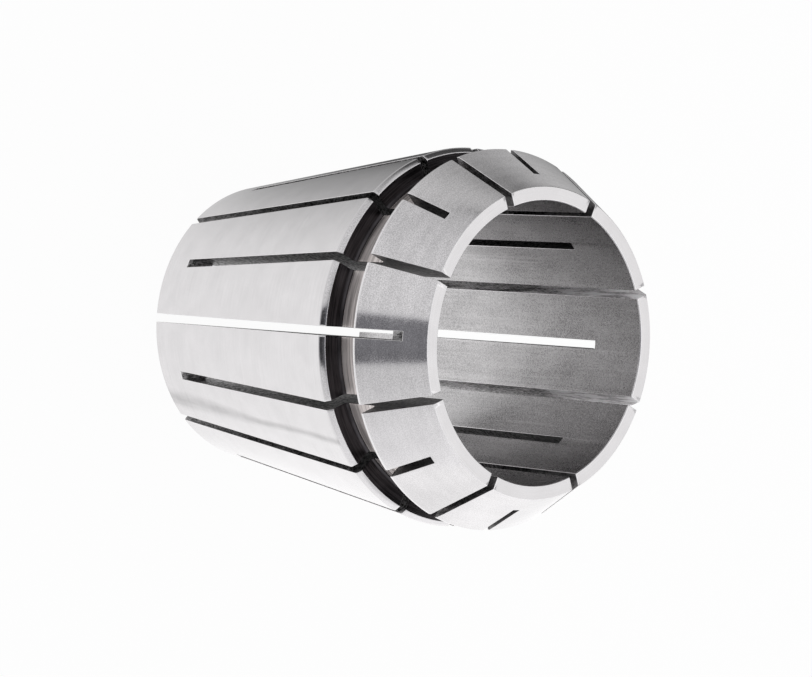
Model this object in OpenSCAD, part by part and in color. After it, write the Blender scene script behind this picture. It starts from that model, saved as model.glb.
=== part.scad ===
// Spring collet for a tapered collet chuck: one turned and ground piece of hardened spring steel.
// It stands on its small back end, so Z runs along its axis to the front face.

/* [Bore] */
// Clamping bore, the largest shank that the collet takes
bore_d = 30; // [12:0.5:34]
// Bevel at the bore's front mouth
mouth_bevel = 0.1; // [0.05:0.05:0.5]

/* [Body] */
// Length from the back face to the front face
body_l = 46; // [38:0.5:60]
// Wall between the bore and the long taper, at the back face
back_wall = 0.75; // [0.5:0.05:4]
// Corner radius round the outside of the back end
back_corner_r = 0.4; // [0.1:0.05:0.5]

/* [Long taper] */
// Half angle of the long taper that seats in the chuck
taper_angle = 8; // [6:0.5:12]
// Bevel at the big end of the long taper, where the groove starts
taper_bevel = 0.5; // [0.1:0.05:1]

/* [Groove] */
// Width of the groove that the nut's ring snaps into
groove_w = 4.7; // [3:0.1:7]
// Depth of the groove below the big end of the long taper
groove_depth = 2.4; // [1:0.1:3.5]
// Fillet in both corners of the groove's floor
groove_fillet = 0.4; // [0.1:0.05:1]

/* [Nose] */
// Half angle of the nose taper that the nut presses on
nose_angle = 30; // [20:1:32]
// Length of the nose taper along the axis
nose_l = 6.7; // [4:0.1:8]
// How much further in the nose starts than the big end of the long taper
nose_step = 0.15; // [0:0.05:0.5]
// Narrow straight land behind the nose taper
land_l = 0.35; // [0.1:0.05:1]
// Bevel round the outer edge of the front face
face_bevel = 0.05; // [0.05:0.05:0.3]

/* [Slots] */
// Number of slots sawn in from each end
slots_per_end = 8; // [3:1:9]
// Width of the saw cut
slot_w = 0.95; // [0.5:0.05:1.6]
// Diameter of the slitting saw, which shapes the closed end of each slot
saw_d = 40; // [30:1:80]
// How far the saw dips below the bore's wall
saw_dip = 1.7; // [1:0.1:3]
// Steel left between the front face and the slots from the back, along the nose taper's outside
front_web = 2.3; // [1:0.05:5]
// Steel left between the back face and the slots from the front, along the long taper's outside
back_web = 4.5; // [2:0.1:8]

/* [Hidden] */
$fn = 96;
// What each cutter runs past the surface that it leaves
past = 1;

// Levels along the axis, from the back face up
nose_z = body_l - nose_l;
land_z = nose_z - land_l;
groove_z = land_z - groove_w;
taper_z = groove_z - taper_bevel;

// Radii from the bore outwards. The big end, 41 mm across, is what the taper makes of the back wall.
bore_r = bore_d / 2;
back_r = bore_r + back_wall;
body_r = back_r + taper_z * tan(taper_angle);
groove_r = body_r - groove_depth;
land_r = body_r - nose_step;
face_r = land_r - nose_l * tan(nose_angle);

// The slitting saw: its radius, and how far its centre stays from the collet's axis
saw_r = saw_d / 2;
saw_reach = bore_r - saw_dip + saw_r;

// How far ahead of its own centre the saw cuts at the radius r
function saw_lead(r) = sqrt(saw_r * saw_r - (saw_reach - r) * (saw_reach - r));

// Where the saw's centre stops, so that each web keeps its length on the outside
back_slot_z = body_l - front_web - saw_lead(face_r + front_web * tan(nose_angle));
front_slot_z = back_web + saw_lead(back_r + back_web * tan(taper_angle));

// Half section of the turned blank, before grooving
module blank_section() {
    polygon([
        [0, 0],
        [back_r, 0],
        [body_r, taper_z],
        [body_r - taper_bevel, groove_z],
        [body_r - taper_bevel, land_z],
        [land_r, land_z],
        [land_r, nose_z],
        [face_r + face_bevel * tan(nose_angle), body_l - face_bevel],
        [face_r - face_bevel, body_l],
        [0, body_l],
    ]);
}

// Half section of what the grooving tool takes off, with a fillet in both corners of the floor
module groove_section() {
    fillet_r = groove_r + groove_fillet;
    translate([fillet_r, groove_z]) square([body_r, groove_w]);
    translate([groove_r, groove_z + groove_fillet]) square([body_r, groove_w - 2 * groove_fillet]);
    for (level = [groove_z + groove_fillet, land_z - groove_fillet])
        translate([fillet_r, level]) circle(r = groove_fillet);
}

// Half section of what rounding the back corner takes off, tangent to the back face and to the taper
module back_corner_section() {
    centre_r = back_r - back_corner_r * (1 / cos(taper_angle) - tan(taper_angle));
    tangent_z = back_corner_r * (1 - sin(taper_angle));
    difference() {
        translate([centre_r, -past]) square([past + back_corner_r, past + tangent_z]);
        translate([centre_r, back_corner_r]) circle(r = back_corner_r);
    }
}

// The turned body, still without its bore
module turned_body() {
    rotate_extrude()
        difference() {
            blank_section();
            groove_section();
            back_corner_section();
        }
}

// The bore, right through, and the bevel at its front mouth
module bore_cut() {
    translate([0, 0, -past]) cylinder(h = body_l + 2 * past, r = bore_r);
    translate([0, 0, body_l - mouth_bevel])
        cylinder(h = 2 * mouth_bevel, r1 = bore_r, r2 = bore_r + 2 * mouth_bevel);
}

// One slot: the saw comes in at the open end and stops with its centre at stop_z
module saw_cut(open_z, stop_z) {
    rotate([90, 0, 0])
        linear_extrude(slot_w, center = true) {
            translate([saw_reach, stop_z]) circle(r = saw_r, $fn = 180);
            translate([saw_reach - saw_r, min(open_z, stop_z)]) square([saw_r, abs(stop_z - open_z)]);
        }
}

// Both families of slots, with those from the front half a step round from those from the back
module slots() {
    step = 360 / slots_per_end;
    for (i = [0 : slots_per_end - 1]) {
        rotate([0, 0, i * step]) saw_cut(-past, back_slot_z);
        rotate([0, 0, (i + 0.5) * step]) saw_cut(body_l + past, front_slot_z);
    }
}

module collet() {
    color([0.72, 0.72, 0.72])
        difference() {
            turned_body();
            bore_cut();
            slots();
        }
}

collet();
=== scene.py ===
import math

import bmesh
import bpy
from mathutils import Matrix, Vector


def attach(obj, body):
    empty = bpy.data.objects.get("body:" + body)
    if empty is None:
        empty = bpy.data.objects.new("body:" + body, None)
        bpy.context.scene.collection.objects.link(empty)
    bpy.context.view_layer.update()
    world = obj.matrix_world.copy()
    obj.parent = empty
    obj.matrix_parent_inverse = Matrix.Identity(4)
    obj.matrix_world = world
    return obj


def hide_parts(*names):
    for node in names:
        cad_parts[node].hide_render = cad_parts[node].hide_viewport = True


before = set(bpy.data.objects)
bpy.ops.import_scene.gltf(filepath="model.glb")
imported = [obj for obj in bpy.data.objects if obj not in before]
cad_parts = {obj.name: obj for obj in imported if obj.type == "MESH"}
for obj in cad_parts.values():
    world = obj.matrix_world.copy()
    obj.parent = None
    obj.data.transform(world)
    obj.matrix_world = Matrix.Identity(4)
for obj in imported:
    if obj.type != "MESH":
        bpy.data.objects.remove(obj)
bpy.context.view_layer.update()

MM = 0.001

# Sizes of the collet, in millimetres, the same as in the part's own source
BORE_R = 15.0
BODY_L = 46.0
BACK_WALL = 0.75
BACK_CORNER_R = 0.4
TAPER_ANGLE = math.radians(8)
TAPER_BEVEL = 0.5
BEVEL_ANGLE = math.radians(45)
GROOVE_W = 4.7
GROOVE_DEPTH = 2.4
GROOVE_FILLET = 0.4
NOSE_ANGLE = math.radians(30)
NOSE_L = 6.7
NOSE_STEP = 0.15
LAND_L = 0.35
FACE_BEVEL = 0.05
MOUTH_BEVEL = 0.1
SLOTS_PER_END = 8
SLOT_W = 0.95
SAW_R = 20.0
SAW_DIP = 1.7
FRONT_WEB = 2.3
BACK_WEB = 4.5

# What follows from them
NOSE_Z = BODY_L - NOSE_L
LAND_Z = NOSE_Z - LAND_L
GROOVE_Z = LAND_Z - GROOVE_W
TAPER_Z = GROOVE_Z - TAPER_BEVEL
BACK_R = BORE_R + BACK_WALL
BODY_R = BACK_R + TAPER_Z * math.tan(TAPER_ANGLE)
RIM_R = BODY_R - TAPER_BEVEL
GROOVE_R = BODY_R - GROOVE_DEPTH
LAND_R = BODY_R - NOSE_STEP
FACE_R = LAND_R - NOSE_L * math.tan(NOSE_ANGLE)
SAW_REACH = BORE_R - SAW_DIP + SAW_R

# How finely the turned body, its small arcs and the saw's arc are divided
COLUMNS = 240
ARC_STEPS = 5
SAW_STEPS = 24
# What the saw plates run past the steel, in millimetres
PAST = 2.0
# Points nearer than these are merged, in millimetres: on the turned body, and once it is sawn
MERGE_TURNED = 0.0001
MERGE_SAWN = 0.02
# The sawn shape's points, edges and faces are put in order along this way, where no two of them tie
ORDER_WAY = Vector((0.317, 0.523, 0.791))

# Outer edges sharper than this are broken, by this many millimetres
SHARP = math.radians(35)
DEBURR = 0.05
# Radius that use has worn on the long taper's big end, in millimetres
WORN_R = 0.3
# Broken edges this far off the bore and off the groove's rim take the groove's painted shade, in
# millimetres
OFF_BORE = 0.5
OFF_RIM = 0.15

# The finishes, as material indices
TAPER, NOSE, FACE, GROOVE, SHADED_CORNER, BORE, SAWN_UP, SAWN_DOWN, SAWN_END, EDGE = range(10)

# The photograph's point of view: angles, then distance and aim in metres, and the lens in millimetres
VIEW_AZIMUTH = math.radians(1.139)
VIEW_ELEVATION = math.radians(47.586)
VIEW_ROLL = math.radians(94.316)
VIEW_DISTANCE = 0.33773
VIEW_AIM = Vector((0.00057, 0, 0.02474))
LENS = 135.9


class Signal:
    """A shader socket that Python's operators work on. Each operator adds its Math node."""

    def __init__(self, sheet, socket):
        self.sheet = sheet
        self.socket = socket

    def __add__(self, other):
        return self.sheet.maths("ADD", self, other)

    __radd__ = __add__

    def __sub__(self, other):
        return self.sheet.maths("SUBTRACT", self, other)

    def __rsub__(self, other):
        return self.sheet.maths("SUBTRACT", other, self)

    def __mul__(self, other):
        return self.sheet.maths("MULTIPLY", self, other)

    __rmul__ = __mul__

    def __truediv__(self, other):
        return self.sheet.maths("DIVIDE", self, other)

    def __pow__(self, other):
        return self.sheet.maths("POWER", self, other)

    def __abs__(self):
        return self.sheet.maths("ABSOLUTE", self)


class Sheet:
    """One node tree, and the one way to put a node on it."""

    # The middle stretch of a noise that crisp() draws out to all of 0 to 1
    NOISE_MIDDLE = (0.35, 0.65)

    def __init__(self, tree):
        self.tree = tree
        tree.nodes.clear()

    def node(self, kind, settings=None, values=None, out=0):
        """A new node with its settings, then the values or links of its sockets. Gives one output."""
        made = self.tree.nodes.new(kind)
        for name, value in (settings or {}).items():
            setattr(made, name, value)
        for key, value in (values or {}).items():
            if isinstance(value, Signal):
                self.tree.links.new(value.socket, made.inputs[key])
            else:
                made.inputs[key].default_value = value
        return Signal(self, made.outputs[out]) if made.outputs else None

    def maths(self, operation, *terms):
        return self.node("ShaderNodeMath", {"operation": operation}, dict(enumerate(terms)))

    def between(self, value, low, high):
        """0 below low, 1 above high, and smooth between them."""
        return self.node("ShaderNodeMapRange", {"interpolation_type": "SMOOTHSTEP"},
                         {"Value": value, "From Min": low, "From Max": high})

    def axes(self, coordinates):
        """x, y and z of one kind of coordinates."""
        spot = self.node("ShaderNodeTexCoord", out=coordinates)
        parts = self.node("ShaderNodeSeparateXYZ", values={"Vector": spot})
        return [Signal(self, part) for part in parts.socket.node.outputs]

    def place(self):
        """x, y and z on the piece, in millimetres."""
        return [axis * (1 / MM) for axis in self.axes("Object")]

    def noise(self, x, y, z, detail=2.0, roughness=0.5):
        spot = self.node("ShaderNodeCombineXYZ", values={"X": x, "Y": y, "Z": z})
        return self.node("ShaderNodeTexNoise", values={"Vector": spot, "Scale": 1.0, "Detail": detail,
                                                       "Roughness": roughness})

    def crisp(self, x, y, z, detail=3.0, roughness=0.6):
        """Noise with its contrast drawn out, so that it uses all of 0 to 1."""
        return self.between(self.noise(x, y, z, detail, roughness), *self.NOISE_MIDDLE)

    def colour(self, red, green, blue):
        return self.node("ShaderNodeCombineColor", values={"Red": red, "Green": green, "Blue": blue})


def off_axis(x, y):
    """The distance from the collet's axis."""
    return (x * x + y * y) ** 0.5


def arc(centre_r, centre_z, radius, start, stop):
    """Points on an arc of the section, between two angles in degrees from the outward direction."""
    points = []
    for i in range(ARC_STEPS + 1):
        a = math.radians(start + (stop - start) * i / ARC_STEPS)
        points.append((centre_r + radius * math.cos(a), centre_z + radius * math.sin(a)))
    return points


def worn_corner():
    """The arc at the long taper's big end, tangent to the taper and to its bevel."""
    reach = WORN_R / (1 + math.cos(TAPER_ANGLE + BEVEL_ANGLE))
    centre_r = BODY_R - reach * (math.cos(TAPER_ANGLE) + math.cos(BEVEL_ANGLE))
    centre_z = TAPER_Z - reach * (math.sin(BEVEL_ANGLE) - math.sin(TAPER_ANGLE))
    return arc(centre_r, centre_z, WORN_R, -math.degrees(TAPER_ANGLE), math.degrees(BEVEL_ANGLE))


def section():
    """The closed half section as runs of one finish each. A run starts where the one before it ended."""
    corner_r = BACK_R - BACK_CORNER_R * (1 / math.cos(TAPER_ANGLE) - math.tan(TAPER_ANGLE))
    back_corner = arc(corner_r, BACK_CORNER_R, BACK_CORNER_R, -90, -math.degrees(TAPER_ANGLE))
    rear_fillet = arc(GROOVE_R + GROOVE_FILLET, GROOVE_Z + GROOVE_FILLET, GROOVE_FILLET, 270, 180)
    front_fillet = arc(GROOVE_R + GROOVE_FILLET, LAND_Z - GROOVE_FILLET, GROOVE_FILLET, 180, 90)
    nose_end = (FACE_R + FACE_BEVEL * math.tan(NOSE_ANGLE), BODY_L - FACE_BEVEL)
    return [
        (FACE, back_corner),
        (TAPER, worn_corner()),
        (NOSE, [(RIM_R, GROOVE_Z)]),
        # The groove's rear wall and fillet, and its front fillet and wall, carry painted shade
        (SHADED_CORNER, rear_fillet),
        (GROOVE, front_fillet[:1]),
        (SHADED_CORNER, front_fillet[1:] + [(LAND_R, LAND_Z)]),
        (EDGE, [(LAND_R, NOSE_Z)]),
        (NOSE, [nose_end]),
        (EDGE, [(FACE_R - FACE_BEVEL, BODY_L)]),
        (FACE, [(BORE_R + MOUTH_BEVEL, BODY_L)]),
        (BORE, [(BORE_R, BODY_L - MOUTH_BEVEL), (BORE_R, 0)]),
    ]


def turned_body():
    """The body as it leaves the lathe, each band of faces with its finish."""
    made = bmesh.new()
    here = (BORE_R, 0)
    for finish, points in section():
        known = set(made.faces)
        chain = [made.verts.new((r * MM, 0, z * MM)) for r, z in [here] + points]
        lines = [made.edges.new(pair) for pair in zip(chain, chain[1:])]
        bmesh.ops.spin(made, geom=chain + lines, cent=(0, 0, 0), axis=(0, 0, 1),
                       angle=math.tau, steps=COLUMNS, use_merge=True)
        for face in made.faces:
            if face not in known:
                face.material_index = finish
        here = points[-1]
    bmesh.ops.remove_doubles(made, verts=made.verts, dist=MERGE_TURNED * MM)
    # Half a column round, so that no line between two columns runs along the side of a slot
    half_column = Matrix.Rotation(math.pi / COLUMNS, 3, "Z")
    bmesh.ops.rotate(made, verts=made.verts, cent=(0, 0, 0), matrix=half_column)
    bmesh.ops.recalc_face_normals(made, faces=made.faces)
    return made


def saw_lead(r):
    """How far ahead of its own centre the saw cuts at the radius r."""
    return math.sqrt(SAW_R ** 2 - (SAW_REACH - r) ** 2)


def verts_in(geom):
    """The vertices among what an operator gives back."""
    return [g for g in geom if isinstance(g, bmesh.types.BMVert)]


def saw_plates(stop_z, open_z, turn, side_finish, end_finish):
    """The steel that one family of saw cuts takes off: plates with the saw's curve where they stop."""
    ahead = 1 if stop_z > open_z else -1
    sweep = math.acos((SAW_REACH - BODY_R - PAST) / SAW_R)
    plate = bmesh.new()
    plate.verts.new(((SAW_REACH - SAW_R) * MM, -SLOT_W / 2 * MM, stop_z * MM))
    bmesh.ops.spin(plate, geom=plate.verts[:], cent=(SAW_REACH * MM, 0, stop_z * MM),
                   axis=(0, ahead, 0), angle=sweep, steps=SAW_STEPS)
    swept = bmesh.ops.extrude_edge_only(plate, edges=plate.edges[:])["geom"]
    bmesh.ops.translate(plate, verts=verts_in(swept), vec=(0, 0, (open_z - stop_z - ahead * SAW_R) * MM))
    raised = bmesh.ops.extrude_face_region(plate, geom=plate.faces[:])["geom"]
    bmesh.ops.translate(plate, verts=verts_in(raised), vec=(0, SLOT_W * MM, 0))
    bmesh.ops.recalc_face_normals(plate, faces=plate.faces[:])
    for face in plate.faces:
        is_side = round(abs(face.normal.y)) == 1
        face.material_index = side_finish if is_side else end_finish
    bmesh.ops.rotate(plate, verts=plate.verts[:], cent=(0, 0, 0), matrix=Matrix.Rotation(turn, 3, "Z"))
    step = math.tau / SLOTS_PER_END
    whole = plate.verts[:] + plate.edges[:] + plate.faces[:]
    bmesh.ops.spin(plate, geom=whole, cent=(0, 0, 0), axis=(0, 0, 1),
                   angle=math.tau - step, steps=SLOTS_PER_END - 1, use_duplicate=True)
    return plate


def in_scene(name, data):
    """A new object for a mesh, a lamp or a camera, put in the scene."""
    made = bpy.data.objects.new(name, data)
    bpy.context.scene.collection.objects.link(made)
    return made


def as_object(name, shape, finishes):
    """A bmesh as an object in the scene, with its materials."""
    mesh = bpy.data.meshes.new(name)
    shape.to_mesh(mesh)
    shape.free()
    for finish in finishes:
        mesh.materials.append(finish)
    return in_scene(name, mesh)


def put_in_order(shape):
    """One fixed order for what the cutters leave, so that every run merges and eases it alike."""
    shape.verts.sort(key=lambda v: v.co.dot(ORDER_WAY))
    shape.edges.sort(key=lambda e: (e.verts[0].co + e.verts[1].co).dot(ORDER_WAY))
    shape.faces.sort(key=lambda f: f.calc_center_median().dot(ORDER_WAY))


def sawn(body, cutters):
    """The body with the cutters taken off, as a bmesh."""
    for cutter in cutters:
        cut = body.modifiers.new("saw", "BOOLEAN")
        cut.operation = "DIFFERENCE"
        cut.solver = "EXACT"
        cut.object = cutter
    ready = body.evaluated_get(bpy.context.evaluated_depsgraph_get())
    shape = bmesh.new()
    shape.from_mesh(ready.to_mesh())
    ready.to_mesh_clear()
    for o in [body] + cutters:
        bpy.data.objects.remove(o)
    put_in_order(shape)
    bmesh.ops.remove_doubles(shape, verts=shape.verts[:], dist=MERGE_SAWN * MM)
    return shape


def in_groove(spot):
    """Whether a spot in millimetres lies in the groove, clear of the bore and of the groove's rim."""
    along = GROOVE_Z - DEBURR < spot.z < LAND_Z + DEBURR
    return along and BORE_R + OFF_BORE < spot.xy.length < RIM_R - OFF_RIM


def break_edges(shape):
    """Breaks the sharp outer edges, with painted shade in the groove and a painted highlight elsewhere,
    and smooths the shading.
    """
    sharp = [e for e in shape.edges if e.is_convex and e.calc_face_angle(0) > SHARP]
    eased = bmesh.ops.bevel(shape, geom=sharp, offset=DEBURR * MM, offset_type="OFFSET", segments=2,
                            profile=0.5, affect="EDGES", clamp_overlap=False, material=-1)
    for face in eased["faces"]:
        # Eased faces in the groove take the groove's painted shade; the rest take the bright edge finish
        face.material_index = SHADED_CORNER if in_groove(face.calc_center_median() / MM) else EDGE
    for face in shape.faces:
        face.smooth = True


def collet(finishes):
    """The whole collet: turned, sawn from both ends and eased."""
    front_stop = BODY_L - FRONT_WEB - saw_lead(FACE_R + FRONT_WEB * math.tan(NOSE_ANGLE))
    back_stop = BACK_WEB + saw_lead(BACK_R + BACK_WEB * math.tan(TAPER_ANGLE))
    half_step = math.pi / SLOTS_PER_END
    upwards = saw_plates(front_stop, -PAST, 0, SAWN_UP, SAWN_END)
    downwards = saw_plates(back_stop, BODY_L + PAST, half_step, SAWN_DOWN, SAWN_DOWN)
    cutters = [as_object("saw_from_back", upwards, finishes),
               as_object("saw_from_front", downwards, finishes)]
    shape = sawn(as_object("turned_body", turned_body(), finishes), cutters)
    break_edges(shape)
    rough = as_object("collet_eased", shape, finishes)
    rough.modifiers.new("even shading", "WEIGHTED_NORMAL")
    ready = rough.evaluated_get(bpy.context.evaluated_depsgraph_get())
    body = in_scene("collet_body", bpy.data.meshes.new_from_object(ready))
    bpy.data.objects.remove(rough)
    return body


# How far the clouds and the fine marks turn the roughness of all steel
ROUGH_CLOUDS = 0.12
ROUGH_MARKS = 0.08
# Red, green and blue as parts of the tone: plain steel, the groove's floor, and the painted shade in its
# corners
PLAIN_TINT = (1.01, 0.99, 1.0)
GROOVE_TINT = (1.02, 0.95, 0.93)
SHADED_CORNER_TINT = (1.03, 0.95, 1.01)


def steel(name, tone, rough, marks, depth, grain=0.1, clouds=0.1, tint=PLAIN_TINT):
    """Bare steel. marks(sheet) gives fine marks and broad clouds, both from 0 to 1.

    Grain and clouds are how far these two turn the tone. Depth is the fine marks' own, in millimetres.
    """
    made = bpy.data.materials.new(name)
    made.use_nodes = True
    sheet = Sheet(made.node_tree)
    fine, broad = marks(sheet)
    level = tone + (fine - 0.5) * grain + (broad - 0.5) * clouds
    bump = sheet.node("ShaderNodeBump", values={"Height": fine, "Distance": depth * MM, "Strength": 1.0})
    shader = sheet.node("ShaderNodeBsdfPrincipled", values={
        "Base Color": sheet.colour(*(level * share for share in tint)),
        "Metallic": 1.0,
        "Roughness": rough + (broad - 0.5) * ROUGH_CLOUDS + (fine - 0.5) * ROUGH_MARKS,
        "Normal": bump})
    sheet.node("ShaderNodeOutputMaterial", values={"Surface": shader})
    return made


# Detail of the broad clouds' noise
CLOUD_DETAIL = 4.0


def ground_round(pitch, run, cloud=2.5):
    """Marks that run round the piece, each about pitch wide and run long, in millimetres."""
    def marks(sheet):
        x, y, z = sheet.place()
        fine = sheet.crisp(x / run, y / run, (z + off_axis(x, y)) / pitch)
        return fine, sheet.noise(x / cloud, y / cloud, z / cloud, CLOUD_DETAIL)
    return marks


# The smear that handling left on the long taper, in millimetres. A pair is where something fades in.
# Its turn from the side that faces the camera, how dark it is, and how far off the axis it starts
SMEAR_TURN = math.radians(34.2)
SMEAR_DARK = 1.5
SMEAR_FRONT = (0, 5)
# Half its width, what that gains towards the back, and how far and how slowly it wanders
SMEAR_HALF = 0.7
SMEAR_GAIN = 0.9
SMEAR_GAIN_Z = (4, 22)
SMEAR_WANDER = 0.8
SMEAR_WAVE = 12.0
# The width and length of its blotches, and how much of it is even
BLOTCH_W = 0.6
BLOTCH_L = 8.0
SMEAR_EVEN = 0.4


def ground_taper(pitch, run):
    """Round marks, and the smear that handling left along one segment."""
    def marks(sheet):
        fine, broad = ground_round(pitch, run)(sheet)
        x, y, z = sheet.place()
        wander = (sheet.noise(0.0, 0.0, z / SMEAR_WAVE, 0.0) - 0.5) * SMEAR_WANDER
        off = abs(x * math.cos(SMEAR_TURN) + y * math.sin(SMEAR_TURN) + wander)
        width = SMEAR_HALF + (1 - sheet.between(z, *SMEAR_GAIN_Z)) * SMEAR_GAIN
        front = sheet.between(x * math.sin(SMEAR_TURN) - y * math.cos(SMEAR_TURN), *SMEAR_FRONT)
        smear = front * (1 - sheet.between(off / width, 0.0, 1.0))
        blotches = sheet.noise(x / BLOTCH_W, y / BLOTCH_W, z / BLOTCH_L)
        return fine, broad - smear * (SMEAR_EVEN + blotches) * SMEAR_DARK
    return marks


# Shares of the drawn marks and of the grit over them, on the nose and in the bore
MARKS_SHARE = 0.2
GRIT_SHARE = 0.8
# How much the nut has polished the nose, and where that fades in from side to side, in millimetres
POLISH = 0.6
POLISH_X = (0, 12)


def ground_nose(pitch, run, grit):
    """Round marks with a fine crossing grain over them, finer on the side that the nut has polished."""
    def marks(sheet):
        fine, broad = ground_round(pitch, run)(sheet)
        x, y, z = sheet.place()
        grain = sheet.crisp(x / grit, y / grit, z / grit)
        polished = sheet.between(x, *POLISH_X) * POLISH
        return 0.5 + (fine * MARKS_SHARE + grain * GRIT_SHARE - 0.5) * (1 - polished), broad
    return marks


# The bore's scratches: how far apart and how long, in millimetres, how rare, and how bright
SCRATCH_PITCH = 0.9
SCRATCH_L = 40.0
SCRATCH_RARE = (0.66, 0.70)
SCRATCH_SHARE = 0.3


def honed_bore(pitch, run, grit, cloud=2.4):
    """Faint marks along the axis under an even grit, with a few bright scratches."""
    def marks(sheet):
        x, y, z = sheet.place()
        streaks = sheet.crisp(x / pitch, y / pitch, z / run)
        lines = sheet.noise(x / SCRATCH_PITCH, y / SCRATCH_PITCH, z / SCRATCH_L)
        scratch = sheet.between(lines, *SCRATCH_RARE)
        grain = sheet.crisp(x / grit, y / grit, z / grit)
        fine = streaks * MARKS_SHARE + grain * GRIT_SHARE + scratch * SCRATCH_SHARE
        return fine, sheet.noise(x / cloud, y / cloud, z / (cloud * 2), CLOUD_DETAIL)
    return marks


# The sides of the slots, in millimetres. A pair is where something fades in.
# The saw's arcs: how far apart and how long they are, and their share beside the grit
SAW_MARK_PITCH = 0.3
SAW_MARK_L = 1.5
SAW_MARK_SHARE = 0.4
# The size of the grit, and how much fainter all marks are towards the front
SAW_GRIT = 0.35
FAINTER = 0.6
FAINTER_Z = (33, 36)
# Where painted light brightens the sides, how much evenly and in patches, and where it is brighter still
PAINTED_LIGHT_Y = (9, 14)
PAINTED_LIGHT_Z = (8, 13)
PAINTED_LIGHT_EVEN = 0.2
PAINTED_LIGHT_PATCHES = 1.6
PAINTED_LIGHT_TOP_Z = (25, 40)
PATCH_W = 0.8
PATCH_L = 4.0
# Where painted shade darkens the sides, and how much: in the groove, off to both sides of the collet
GROOVE_SHADE_LOW_Z = (33.5, 35)
GROOVE_SHADE_HIGH_Z = (38.5, 39.5)
GROOVE_SHADE_X = (9, 12)
GROOVE_SHADE_DEPTH = 0.8


def sawn_marks(ahead, painted_light):
    """The saw's arcs, broken by grit. Painted light brightens the sides at the back, and painted shade
    darkens those in the groove.
    """
    def marks(sheet):
        x, y, z = sheet.place()
        r = off_axis(x, y)
        lead = (SAW_R ** 2 - (SAW_REACH - r) * (SAW_REACH - r)) ** 0.5
        arcs = sheet.crisp((z - lead * ahead) / SAW_MARK_PITCH, r / SAW_MARK_L, 0.0)
        grit = sheet.crisp(x / SAW_GRIT, y / SAW_GRIT, z / SAW_GRIT)
        coarse = 1 - sheet.between(z, *FAINTER_Z) * FAINTER
        fine = 0.5 + (arcs * SAW_MARK_SHARE + grit * (1 - SAW_MARK_SHARE) - 0.5) * coarse
        patches = sheet.crisp(x / PATCH_W, y / PATCH_W, z / PATCH_L)
        # Painted light on the slot sides at the back, brighter still towards the mouth
        lit_reach = sheet.between(y, *PAINTED_LIGHT_Y) * sheet.between(z, *PAINTED_LIGHT_Z)
        painted_bright = painted_light * lit_reach * (PAINTED_LIGHT_EVEN + patches * PAINTED_LIGHT_PATCHES + sheet.between(z, *PAINTED_LIGHT_TOP_Z))
        # Painted shade on the slot sides that lie in the groove
        groove = sheet.between(z, *GROOVE_SHADE_LOW_Z) * (1 - sheet.between(z, *GROOVE_SHADE_HIGH_Z))
        groove_shade = groove * sheet.between(abs(x), *GROOVE_SHADE_X)
        return fine, patches + painted_bright - groove_shade * GROOVE_SHADE_DEPTH
    return marks


def finishes():
    """The steel finishes, in the order of their material indices."""
    return [
        steel("ground_taper", tone=0.76, rough=0.18, marks=ground_taper(pitch=0.12, run=9.0),
              depth=0.0002, grain=0.04, clouds=0.16),
        steel("ground_nose", tone=0.73, rough=0.11, marks=ground_nose(pitch=0.28, run=5.0, grit=0.12),
              depth=0.0005, grain=0.30, clouds=0.12),
        steel("ground_face", tone=0.775, rough=0.20, marks=ground_round(pitch=0.1, run=6.0),
              depth=0.0001, grain=0.03, clouds=0.10),
        steel("turned_groove", tone=0.75, rough=0.50, marks=ground_round(pitch=0.35, run=12.0),
              depth=0.002, grain=0.5, clouds=0.1, tint=GROOVE_TINT),
        # Painted shade: near-black steel on the groove's walls and fillets
        steel("groove_corner_painted_shade", tone=0.065, rough=0.36, marks=ground_round(pitch=0.14, run=5.0),
              depth=0.0008, grain=0.06, clouds=0.06, tint=SHADED_CORNER_TINT),
        steel("honed_bore", tone=0.435, rough=0.28, marks=honed_bore(pitch=0.25, run=8.0, grit=0.16),
              depth=0.0004, grain=0.22, clouds=0.28),
        steel("sawn_from_back", tone=0.20, rough=0.50, marks=sawn_marks(ahead=1, painted_light=0),
              depth=0.003, grain=0.4, clouds=0.12),
        # The sides sawn from the front carry painted light at the back
        steel("sawn_from_front", tone=0.31, rough=0.50, marks=sawn_marks(ahead=-1, painted_light=1.6),
              depth=0.003, grain=0.7, clouds=0.2),
        steel("sawn_end", tone=0.50, rough=0.34, marks=sawn_marks(ahead=1, painted_light=0),
              depth=0.002, grain=0.5, clouds=0.12),
        # Worn edges: their bright tone is partly wear and partly a painted highlight
        steel("worn_edge_painted_highlight", tone=0.90, rough=0.30, marks=ground_nose(pitch=0.3, run=5.0, grit=0.3),
              depth=0.0002),
    ]


# The studio, by direction: x to the photographer's right, y away from the camera and z up. A pair is where
# something fades in. The gap is on the camera's side, darker than the lamps, and darker still high up.
GAP_MIDDLE = 0.055
GAP_HALF = 0.22
GAP_SOFT = 0.02
GAP_LEVEL = 0.27
GAP_END_Y = (-0.3, -0.1)
GAP_HIGH_Z = (0.35, 0.6)
GAP_HIGH_LOSS = 0.8
# The walls: their level, what it gains to the right and in two opposite corners, and where it is lower
WALL_LEVEL = 0.79
WALL_RIGHT = 0.27
WALL_CORNERS = 0.25
BACK_LEFT_X = (-0.5, 0)
BACK_LEFT_Y = (-0.25, 0.2)
BACK_LEFT_LOSS = 0.85
BESIDE_NEAR_X = (0.1, 0.2)
BESIDE_FAR_X = (0.3, 0.9)
BESIDE_Y = (-0.5, 0)
BESIDE_LOSS = 0.12
# Overhead: from which height, how much higher that is on the camera's side, and where it is lighter
HIGH_Z = (0.25, 0.5)
HIGH_LIFT = 0.4
HIGH_LIFT_Y = (-0.3, 0.1)
HIGH_LEVEL = 0.20
HIGH_SIDES = 0.5
HIGH_SIDES_X = (0.3, 0.5)
HIGH_TOP = 0.6
HIGH_TOP_Z = (0.8, 0.92)
# How much blue the walls have over grey, and what a black gap would have on top of that
WALL_BLUE = 0.01
GAP_BLUE = 0.08


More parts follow.
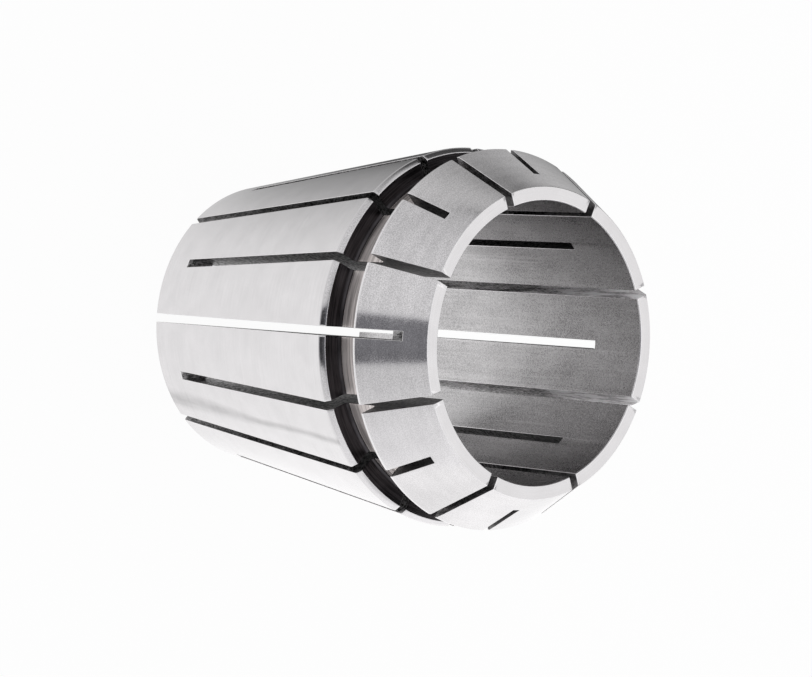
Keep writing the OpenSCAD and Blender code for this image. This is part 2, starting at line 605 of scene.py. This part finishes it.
def studio():
    """Soft light from all round, with a darker gap on the side where the photographer stands."""
    world = bpy.data.worlds.new("studio")
    bpy.context.scene.world = world
    world.use_nodes = True
    sheet = Sheet(world.node_tree)
    x, y, z = sheet.axes("Generated")

    aside = abs(x - GAP_MIDDLE) + sheet.between(y, *GAP_END_Y)
    gap = GAP_LEVEL * (1 - sheet.between(z, *GAP_HIGH_Z) * GAP_HIGH_LOSS)
    open_part = gap + (1 - gap) * sheet.between(aside, GAP_HALF - GAP_SOFT, GAP_HALF + GAP_SOFT)

    back_left = (1 - sheet.between(x, *BACK_LEFT_X)) * sheet.between(y, *BACK_LEFT_Y)
    beside_x = sheet.between(x, *BESIDE_NEAR_X) * (1 - sheet.between(x, *BESIDE_FAR_X))
    beside = beside_x * (1 - sheet.between(y, *BESIDE_Y))
    even = WALL_LEVEL + x * WALL_RIGHT + x * y * WALL_CORNERS
    walls = (even - beside * BESIDE_LOSS) * (1 - back_left * BACK_LEFT_LOSS) * open_part

    lift = (1 - sheet.between(y, *HIGH_LIFT_Y)) * HIGH_LIFT
    high = sheet.between(z - lift, *HIGH_Z)
    lighter = sheet.between(abs(x), *HIGH_SIDES_X) * HIGH_SIDES + sheet.between(z, *HIGH_TOP_Z) * HIGH_TOP
    level = walls * (1 - high) + high * (HIGH_LEVEL + lighter)
    blue = level * (1 + WALL_BLUE + GAP_BLUE - open_part * GAP_BLUE)

    light = sheet.node("ShaderNodeBackground", values={"Color": sheet.colour(level, level, blue),
                                                       "Strength": 1.0})
    white = sheet.node("ShaderNodeBackground", values={"Color": (1, 1, 1, 1), "Strength": 1.0})
    seen = sheet.node("ShaderNodeLightPath", out="Is Camera Ray")
    shown = sheet.node("ShaderNodeMixShader", values={0: seen, 1: light, 2: white})
    sheet.node("ShaderNodeOutputWorld", values={"Surface": shown})


# Side of the square floor, in metres
FLOOR_SIZE = 6.0
FLOOR_COLOUR = (0.9, 0.9, 0.9, 1)
# How much of the floor is glow, to the camera and in reflections
GLOW_SEEN = 0.96
GLOW_MIRRORED = 0.85
# The floor's painted light and shade, which only reflections show. Each pair is where something fades in:
# an R pair by distance from the axis, in millimetres, and an X or Y pair by direction.
# A painted pool of light under the bore
BORE_EDGE_R = (12, 15)
BORE_LEVEL = 1.45
# Near the collet, with painted shade behind and on the left
NEAR_LEVEL = 1.05
NEAR_BEHIND_Y = (-1.1, 0.3)
NEAR_RIGHT_X = (-0.3, 0.3)
NEAR_RIGHT = 0.98
NEAR_LOSS = 0.78
# Further off, painted lighter to the right, in two corners and at the far end
FAR_R = (50, 110)
FAR_LEVEL = 0.74
FAR_RIGHT = 0.34
FAR_END_R = (250, 600)
FAR_END = 0.12
CORNER_GAIN = 0.25
FRONT_LEFT_X = (-0.6, 0)
FRONT_LEFT_Y = (-0.5, 0.3)
BACK_RIGHT_X = (0.2, 0.8)
BACK_RIGHT_Y = (0.1, 0.5)
# The painted shade in the corner at the back left, which a ring of painted light crosses
DARK_X = (-0.5, 0)
DARK_Y = (0.1, 0.6)
DARK_LOSS = 0.95
RING_NEAR_R = (45, 75)
RING_FAR_R = (110, 260)


def painted_floor_light(sheet):
    """The floor's painted light and shade, as the steel mirrors it."""
    x, y = sheet.place()[:2]
    r = off_axis(x, y)
    # The direction from the axis. The one millimetre more keeps it from dividing by 0 there.
    aside = x / (r + 1)
    along = y / (r + 1)
    bore = 1 - sheet.between(r, *BORE_EDGE_R)

    behind = sheet.between(along, *NEAR_BEHIND_Y)
    near_level = NEAR_LEVEL + behind * (sheet.between(aside, *NEAR_RIGHT_X) * NEAR_RIGHT - NEAR_LOSS)

    front_left = (1 - sheet.between(aside, *FRONT_LEFT_X)) * (1 - sheet.between(along, *FRONT_LEFT_Y))
    back_right = sheet.between(aside, *BACK_RIGHT_X) * sheet.between(along, *BACK_RIGHT_Y)
    corners = (front_left + back_right) * CORNER_GAIN
    far = sheet.between(r, *FAR_R)
    far_level = FAR_LEVEL + aside * FAR_RIGHT + corners + sheet.between(r, *FAR_END_R) * FAR_END

    ring = sheet.between(r, *RING_NEAR_R) * (1 - sheet.between(r, *RING_FAR_R))
    painted_floor_shade = (1 - sheet.between(aside, *DARK_X)) * sheet.between(along, *DARK_Y) * (1 - ring) * DARK_LOSS
    return bore * BORE_LEVEL + (far * far_level + (1 - bore - far) * near_level) * (1 - painted_floor_shade)


def floor():
    """The white floor, which glows evenly for the camera and with painted light and shade in reflections.
    """
    plane = bmesh.new()
    bmesh.ops.create_grid(plane, x_segments=1, y_segments=1, size=FLOOR_SIZE / 2)
    made = bpy.data.materials.new("floor")
    made.use_nodes = True
    sheet = Sheet(made.node_tree)
    seen, glossy, through = (sheet.node("ShaderNodeLightPath", out=ray)
                             for ray in ("Is Camera Ray", "Is Glossy Ray", "Is Transmission Ray"))
    # In reflections the floor glows with painted light and shade
    level = seen + (1 - seen) * painted_floor_light(sheet)
    share = seen * GLOW_SEEN + (glossy + through) * GLOW_MIRRORED
    lit = sheet.node("ShaderNodeBsdfDiffuse", values={"Color": FLOOR_COLOUR})
    glow = sheet.node("ShaderNodeEmission", values={"Color": sheet.colour(level, level, level),
                                                    "Strength": 1.0})
    shown = sheet.node("ShaderNodeMixShader", values={0: share, 1: lit, 2: glow})
    sheet.node("ShaderNodeOutputMaterial", values={"Surface": shown})
    as_object("floor", plane, [made])


# The one lamp, a soft square panel behind and above the collet, in metres and watts
PANEL_PLACE = Vector((0.01, 0.33, 0.39))
PANEL_SIZE = 0.35
PANEL_WATTS = 0.29


def panel():
    """The panel lamp, turned to the collet's middle."""
    lamp = bpy.data.lights.new("panel", "AREA")
    lamp.size = PANEL_SIZE
    lamp.energy = PANEL_WATTS
    towards = Vector((0, 0, BODY_L / 2 * MM)) - PANEL_PLACE
    turn = towards.to_track_quat("-Z", "Y").to_matrix().to_4x4()
    in_scene("panel", lamp).matrix_world = Matrix.Translation(PANEL_PLACE) @ turn


def camera():
    """The camera at the photograph's point of view, rolled as the photograph is."""
    lens = bpy.data.cameras.new("camera")
    lens.lens = LENS
    made = in_scene("camera", lens)
    ahead = Vector((math.sin(VIEW_AZIMUTH) * math.cos(VIEW_ELEVATION),
                    math.cos(VIEW_AZIMUTH) * math.cos(VIEW_ELEVATION), -math.sin(VIEW_ELEVATION)))
    made.matrix_world = (Matrix.Translation(VIEW_AIM - ahead * VIEW_DISTANCE)
                         @ Matrix.Rotation(-VIEW_AZIMUTH, 4, "Z")
                         @ Matrix.Rotation(math.pi / 2 - VIEW_ELEVATION, 4, "X")
                         @ Matrix.Rotation(VIEW_ROLL, 4, "Z"))
    bpy.context.scene.camera = made


body = collet(finishes())
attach(body, "root")
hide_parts("collet")

camera()
studio()
floor()
panel()
bpy.context.scene.view_settings.view_transform = "Standard"
